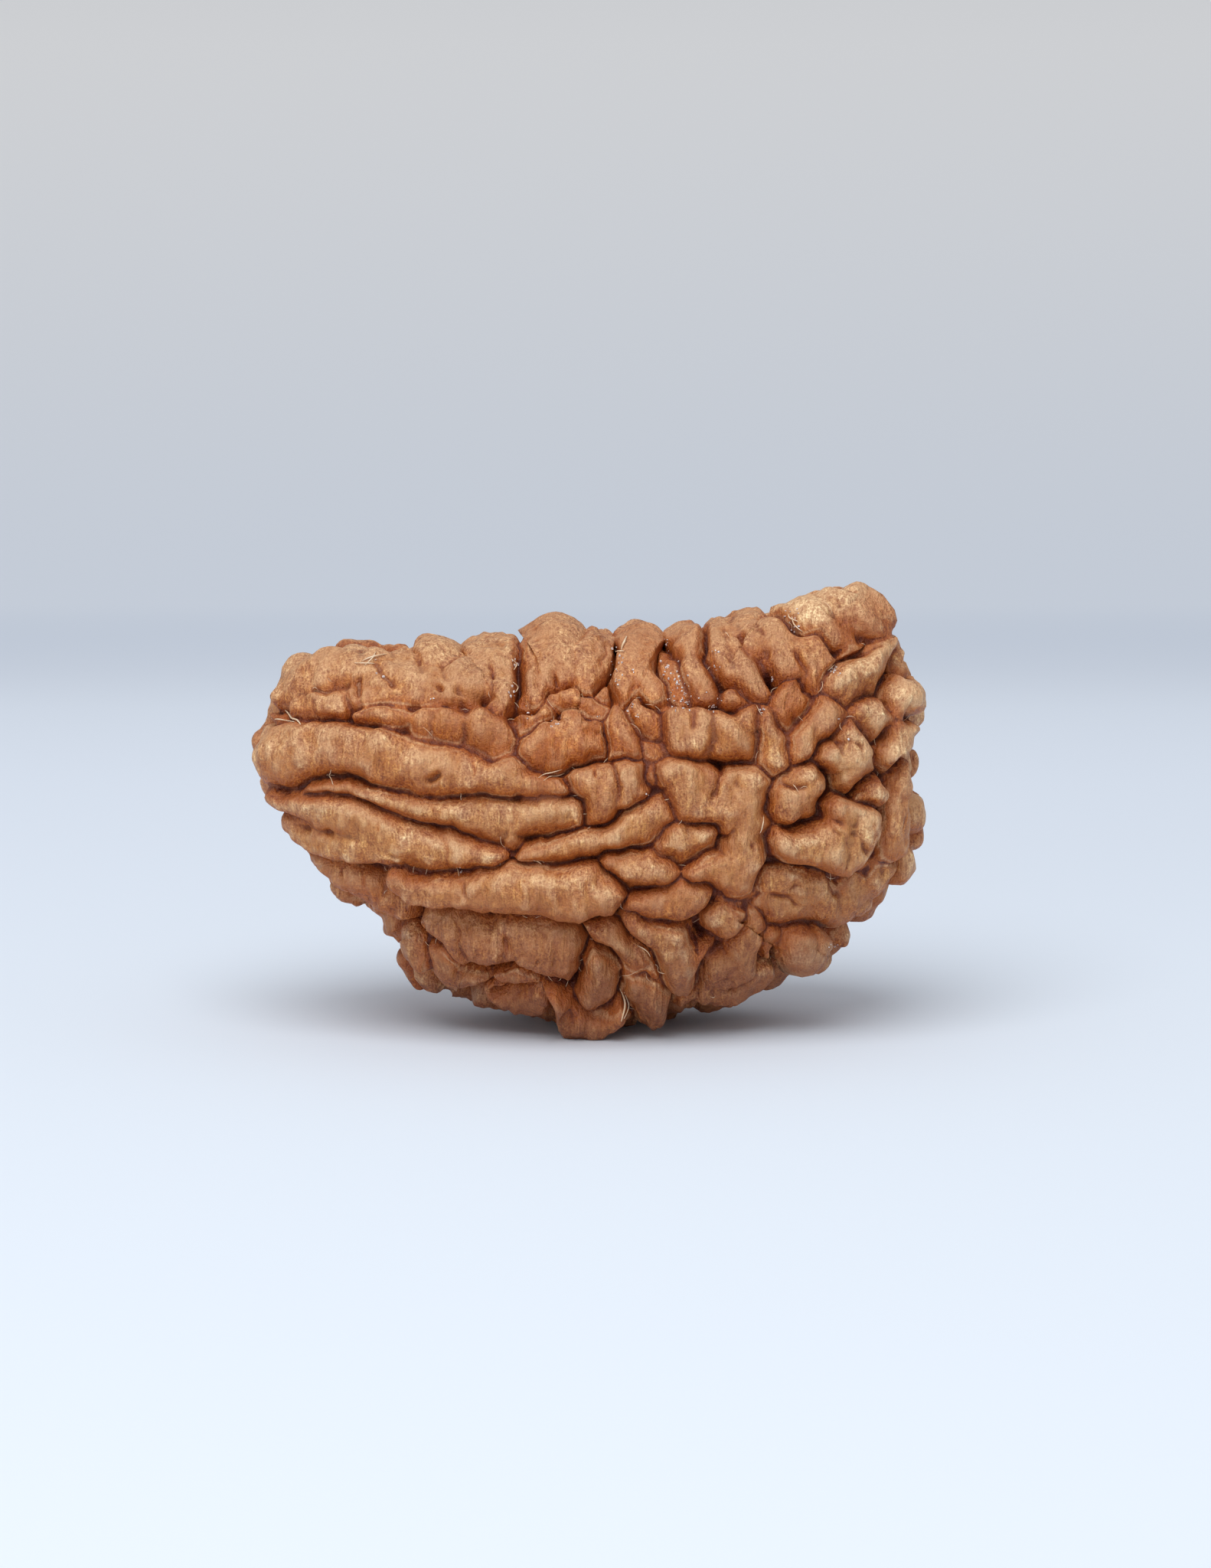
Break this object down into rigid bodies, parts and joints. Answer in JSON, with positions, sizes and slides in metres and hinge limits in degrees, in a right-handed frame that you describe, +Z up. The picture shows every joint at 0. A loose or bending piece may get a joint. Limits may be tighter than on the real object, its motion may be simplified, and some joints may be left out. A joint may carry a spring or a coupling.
{
  "type": "rudraksha seed",
  "caption": "Half-moon rudraksha seed stone, deeply wrinkled into folds, slats and pebble-like lobes, standing on its curved edge; strung or kept as a prayer bead.",
  "frame": {"origin": "centre of the bottom, where the three low folds of the curved edge touch the table", "axes": "+X along the stone from its tip to its blunt end with the crown knob, +Y from the face drawn from the picture to its back, +Z up to the straight edge"},
  "size_m": [0.0269, 0.0131, 0.0178],
  "materials": {
    "seed_shell": "matte, rough, unpolished"
  },
  "bodies": {
    "root": {"rudraksha_seed": "seed_shell"}
  },
  "joints": []
}
